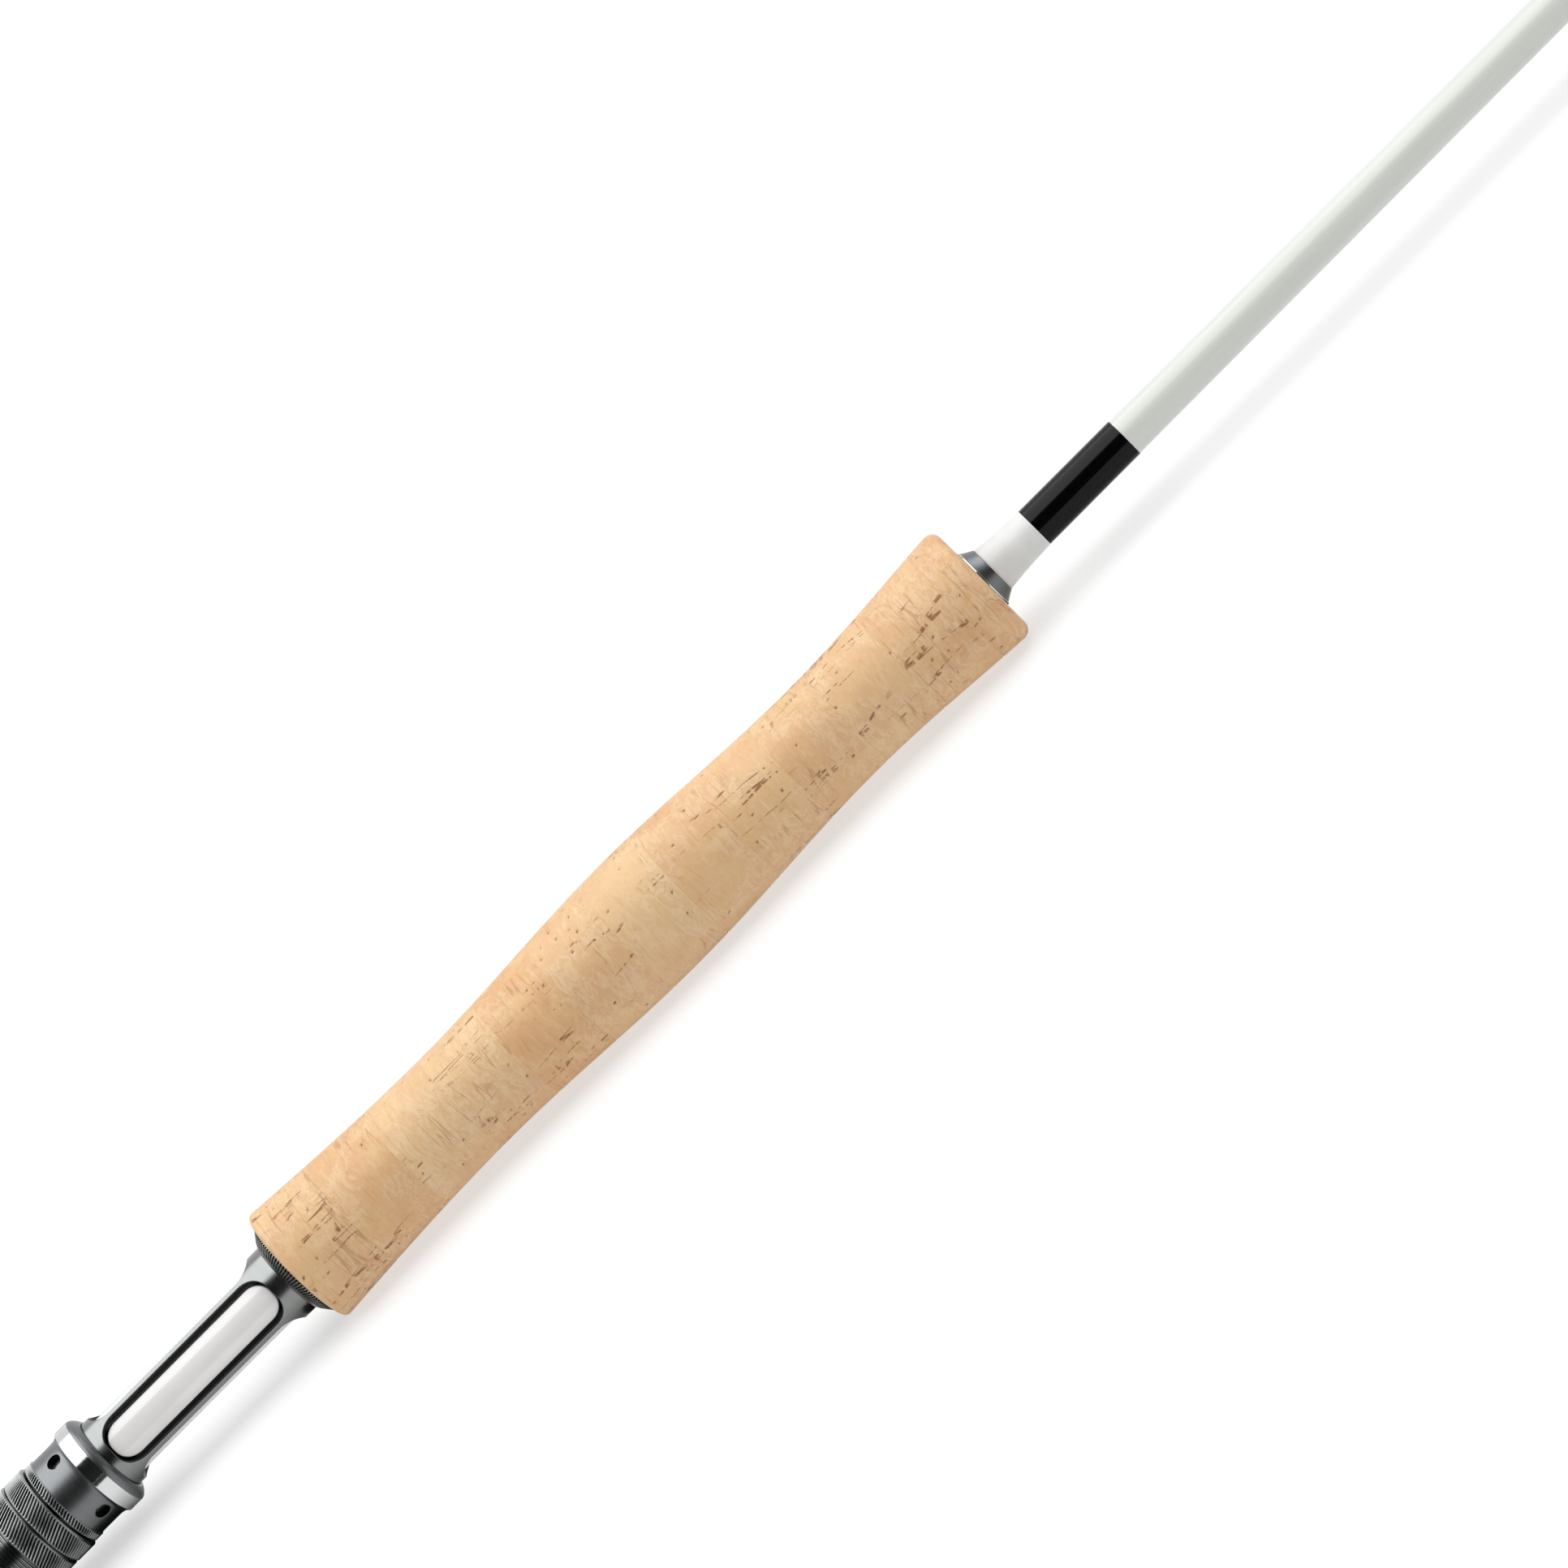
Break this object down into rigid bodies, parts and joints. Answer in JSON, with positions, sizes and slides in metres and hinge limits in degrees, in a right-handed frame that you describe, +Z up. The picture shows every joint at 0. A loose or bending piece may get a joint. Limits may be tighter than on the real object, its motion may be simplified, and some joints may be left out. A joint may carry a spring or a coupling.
{
  "type": "fly fishing rod",
  "caption": "Four-piece fly rod with a full-wells cork grip, an empty up-locking metal reel seat with white inlays, stripping and snake guides and a tip-top.",
  "frame": {"origin": "centre of the butt cap's end face", "axes": "+X along the blank from butt to tip, +Z up as the rod lies on its side on a flat floor, with its guides and reel side towards +Y and 18 degrees below level"},
  "size_m": [2.7481, 0.038, 0.0278],
  "materials": {
    "cork": "natural cork, sanded",
    "butt_rubber": "moulded rubber, matt",
    "gunmetal": "anodised gunmetal grey, satin",
    "core_black": "black, matt",
    "inlay_white": "white, glossy",
    "sleeve_white": "white, semi-gloss",
    "band_black": "black, high gloss",
    "blank_white": "white lacquer, high gloss",
    "thread_wrap": "thread under clear epoxy, glossy",
    "guide_steel": "hard-chromed stainless wire",
    "guide_ceramic": "polished dark ceramic",
    "washer_nylon": "black nylon"
  },
  "bodies": {
    "butt_section": {"black_band": "band_black", "butt_blank": "blank_white", "butt_cap": "butt_rubber", "butt_guide_wraps": "thread_wrap", "butt_trim_ring": "gunmetal", "cork_ring_01": "cork", "cork_ring_02": "cork", "cork_ring_03": "cork", "cork_ring_04": "cork", "cork_ring_05": "cork", "cork_ring_06": "cork", "cork_ring_07": "cork", "cork_ring_08": "cork", "cork_ring_09": "cork", "cork_ring_10": "cork", "cork_ring_11": "cork", "cork_ring_12": "cork", "cork_ring_13": "cork", "fighting_butt_cork": "cork", "fixed_hood": "gunmetal", "inlay_pad_1": "inlay_white", "inlay_pad_2": "inlay_white", "inlay_pad_3": "inlay_white", "inlay_pad_4": "inlay_white", "seat_core": "core_black", "seat_frame": "gunmetal", "stripping_guide_1": "guide_steel", "stripping_ring_1": "guide_ceramic", "taper_sleeve": "sleeve_white", "winding_check": "gunmetal"},
    "sliding_hood": {"sliding_hood": "gunmetal"},
    "lock_ring": {"lock_ring": "gunmetal"},
    "jam_washer": {"jam_washer": "washer_nylon"},
    "jam_ring": {"jam_ring": "gunmetal"},
    "lower_middle": {"lower_middle_blank": "blank_white", "lower_middle_ferrule_wrap": "thread_wrap", "lower_middle_guide_wraps": "thread_wrap", "snake_guide_01": "guide_steel", "snake_guide_02": "guide_steel", "stripping_guide_2": "guide_steel", "stripping_ring_2": "guide_ceramic"},
    "upper_middle": {"snake_guide_03": "guide_steel", "snake_guide_04": "guide_steel", "snake_guide_05": "guide_steel", "snake_guide_06": "guide_steel", "upper_middle_blank": "blank_white", "upper_middle_ferrule_wrap": "thread_wrap", "upper_middle_guide_wraps": "thread_wrap"},
    "tip": {"snake_guide_07": "guide_steel", "snake_guide_08": "guide_steel", "snake_guide_09": "guide_steel", "snake_guide_10": "guide_steel", "snake_guide_11": "guide_steel", "tip_blank": "blank_white", "tip_ferrule_wrap": "thread_wrap", "tip_guide_wraps": "thread_wrap", "tip_top_loop": "guide_steel", "tip_top_tube": "guide_steel"}
  },
  "joints": [
    {"name": "hood_slide", "type": "slide", "parent": "butt_section", "child": "sliding_hood", "axis": [-1, 0, 0], "range_m": [0, 0.024]},
    {"name": "lock_ring_spin", "type": "hinge", "parent": "sliding_hood", "child": "lock_ring", "pos_m": [0.0858, 0, 0], "axis": [-1, 0, 0], "range_deg": [0, 10800]},
    {"name": "jam_ring_slide", "type": "slide", "parent": "lock_ring", "child": "jam_washer", "axis": [-1, 0, 0], "range_m": [0, 0.0024]},
    {"name": "jam_ring_spin", "type": "hinge", "parent": "jam_washer", "child": "jam_ring", "pos_m": [0.0806, 0, 0], "axis": [-1, 0, 0], "range_deg": [0, 1080]},
    {"name": "lower_middle_pull", "type": "slide", "parent": "butt_section", "child": "lower_middle", "axis": [1, 0, 0], "range_m": [0, 0.08]},
    {"name": "upper_middle_pull", "type": "slide", "parent": "lower_middle", "child": "upper_middle", "axis": [1, 0, 0], "range_m": [0, 0.08]},
    {"name": "tip_pull", "type": "slide", "parent": "upper_middle", "child": "tip", "axis": [1, 0, 0], "range_m": [0, 0.08]}
  ],
  "couplings": [
    {"joint": "hood_slide", "follows": "lock_ring_spin", "m_per_rad": 0.00012732},
    {"joint": "jam_ring_slide", "follows": "jam_ring_spin", "m_per_rad": 0.00012732}
  ]
}
